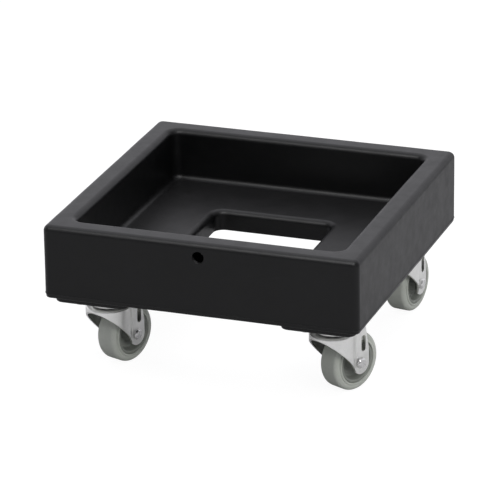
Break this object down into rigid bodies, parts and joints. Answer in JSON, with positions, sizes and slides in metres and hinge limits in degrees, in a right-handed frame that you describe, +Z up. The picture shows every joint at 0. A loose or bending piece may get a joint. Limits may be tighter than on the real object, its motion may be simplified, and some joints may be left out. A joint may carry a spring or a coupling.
{
  "type": "crate dolly",
  "caption": "Low square plastic dolly with a sunk tray, an open middle and a rope hole, rolling on swivel casters under its corners.",
  "frame": {"origin": "on the ground, under the middle of the deck", "axes": "+Z up; -Y is the front, the side with the rope hole; +X is the right-hand side seen from the front"},
  "size_m": [0.413, 0.413, 0.2095],
  "materials": {
    "deck_plastic": "satin rotationally moulded black polyethylene",
    "zinc_steel": "bright zinc-plated pressed steel",
    "fastener_steel": "zinc-plated fasteners",
    "ball_steel": "polished bearing steel",
    "tyre_rubber": "matt grey thermoplastic rubber",
    "core_plastic": "moulded dark grey polypropylene"
  },
  "bodies": {
    "deck_body": {"deck": "deck_plastic", "front_left_mounting_plate": "zinc_steel", "front_left_ball_ring": "ball_steel", "front_left_lower_race": "zinc_steel", "front_left_kingpin": "fastener_steel", "front_left_plate_bolt_1": "fastener_steel", "front_left_plate_bolt_2": "fastener_steel", "front_left_plate_bolt_3": "fastener_steel", "front_left_plate_bolt_4": "fastener_steel", "front_right_mounting_plate": "zinc_steel", "front_right_ball_ring": "ball_steel", "front_right_lower_race": "zinc_steel", "front_right_kingpin": "fastener_steel", "front_right_plate_bolt_1": "fastener_steel", "front_right_plate_bolt_2": "fastener_steel", "front_right_plate_bolt_3": "fastener_steel", "front_right_plate_bolt_4": "fastener_steel", "rear_left_mounting_plate": "zinc_steel", "rear_left_ball_ring": "ball_steel", "rear_left_lower_race": "zinc_steel", "rear_left_kingpin": "fastener_steel", "rear_left_plate_bolt_1": "fastener_steel", "rear_left_plate_bolt_2": "fastener_steel", "rear_left_plate_bolt_3": "fastener_steel", "rear_left_plate_bolt_4": "fastener_steel", "rear_right_mounting_plate": "zinc_steel", "rear_right_ball_ring": "ball_steel", "rear_right_lower_race": "zinc_steel", "rear_right_kingpin": "fastener_steel", "rear_right_plate_bolt_1": "fastener_steel", "rear_right_plate_bolt_2": "fastener_steel", "rear_right_plate_bolt_3": "fastener_steel", "rear_right_plate_bolt_4": "fastener_steel"},
    "front_left_swivel": {"front_left_fork": "zinc_steel", "front_left_axle_bolt": "fastener_steel", "front_left_axle_nut": "fastener_steel", "front_left_axle_sleeve": "zinc_steel"},
    "front_left_wheel": {"front_left_wheel_core": "core_plastic", "front_left_tyre": "tyre_rubber"},
    "front_right_swivel": {"front_right_fork": "zinc_steel", "front_right_axle_bolt": "fastener_steel", "front_right_axle_nut": "fastener_steel", "front_right_axle_sleeve": "zinc_steel"},
    "front_right_wheel": {"front_right_wheel_core": "core_plastic", "front_right_tyre": "tyre_rubber"},
    "rear_left_swivel": {"rear_left_fork": "zinc_steel", "rear_left_axle_bolt": "fastener_steel", "rear_left_axle_nut": "fastener_steel", "rear_left_axle_sleeve": "zinc_steel"},
    "rear_left_wheel": {"rear_left_wheel_core": "core_plastic", "rear_left_tyre": "tyre_rubber"},
    "rear_right_swivel": {"rear_right_fork": "zinc_steel", "rear_right_axle_bolt": "fastener_steel", "rear_right_axle_nut": "fastener_steel", "rear_right_axle_sleeve": "zinc_steel"},
    "rear_right_wheel": {"rear_right_wheel_core": "core_plastic", "rear_right_tyre": "tyre_rubber"}
  },
  "joints": [
    {"name": "front_left_swivel_turn", "type": "hinge", "parent": "deck_body", "child": "front_left_swivel", "pos_m": [-0.1485, -0.133, 0.0835], "axis": [0, 0, 1], "continuous": true},
    {"name": "front_left_wheel_roll", "type": "hinge", "parent": "front_left_swivel", "child": "front_left_wheel", "pos_m": [-0.13858, -0.10575, 0.0381], "axis": [-0.9397, 0.342, 0], "continuous": true},
    {"name": "front_right_swivel_turn", "type": "hinge", "parent": "deck_body", "child": "front_right_swivel", "pos_m": [0.1485, -0.133, 0.0835], "axis": [0, 0, 1], "continuous": true},
    {"name": "front_right_wheel_roll", "type": "hinge", "parent": "front_right_swivel", "child": "front_right_wheel", "pos_m": [0.16098, -0.10683, 0.0381], "axis": [-0.9026, 0.4305, 0], "continuous": true},
    {"name": "rear_left_swivel_turn", "type": "hinge", "parent": "deck_body", "child": "rear_left_swivel", "pos_m": [-0.1485, 0.133, 0.0835], "axis": [0, 0, 1], "continuous": true},
    {"name": "rear_left_wheel_roll", "type": "hinge", "parent": "rear_left_swivel", "child": "rear_left_wheel", "pos_m": [-0.15936, 0.15989, 0.0381], "axis": [-0.9272, -0.3746, 0], "continuous": true},
    {"name": "rear_right_swivel_turn", "type": "hinge", "parent": "deck_body", "child": "rear_right_swivel", "pos_m": [0.1485, 0.133, 0.0835], "axis": [0, 0, 1], "continuous": true},
    {"name": "rear_right_wheel_roll", "type": "hinge", "parent": "rear_right_swivel", "child": "rear_right_wheel", "pos_m": [0.15329, 0.1616, 0.0381], "axis": [-0.9863, 0.165, 0], "continuous": true}
  ]
}
